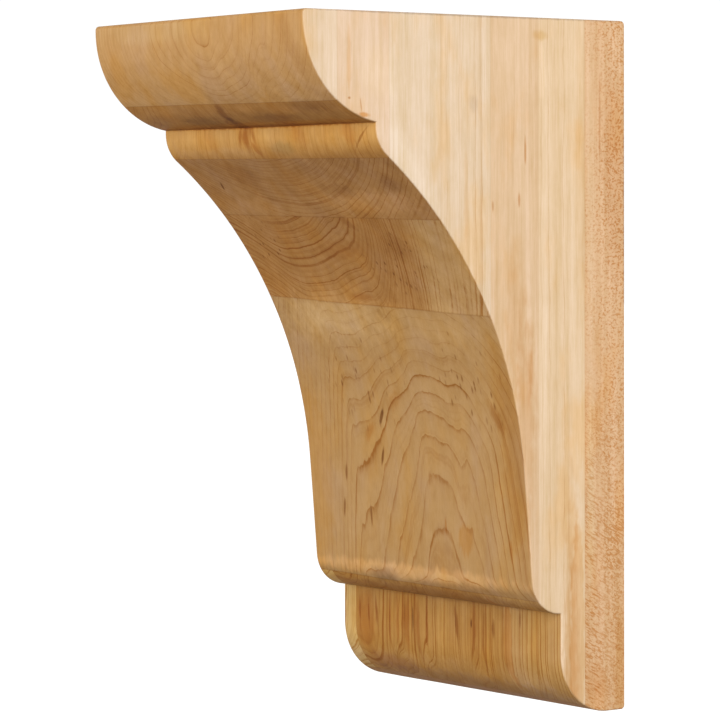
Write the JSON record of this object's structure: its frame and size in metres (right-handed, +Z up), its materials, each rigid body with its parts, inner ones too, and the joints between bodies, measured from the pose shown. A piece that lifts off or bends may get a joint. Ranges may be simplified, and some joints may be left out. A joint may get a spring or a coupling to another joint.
{
  "type": "corbel bracket",
  "caption": "Solid wooden corbel with a quarter-round crown, fillet, long hollow sweep, rolled lip and rounded foot panel, fixed by its flat back to a wall to carry what rests on its flat top.",
  "frame": {"origin": "centre of the flat back face, where it meets the wall", "axes": "+X across the width, +Y into the wall, -Y out to the carved front, +Z up"},
  "size_m": [0.188, 0.203, 0.3556],
  "materials": {
    "wood": "bare sanded softwood and hardwood tones, glued up from boards, no varnish"
  },
  "bodies": {
    "root": {"corbel": "wood"}
  },
  "joints": []
}
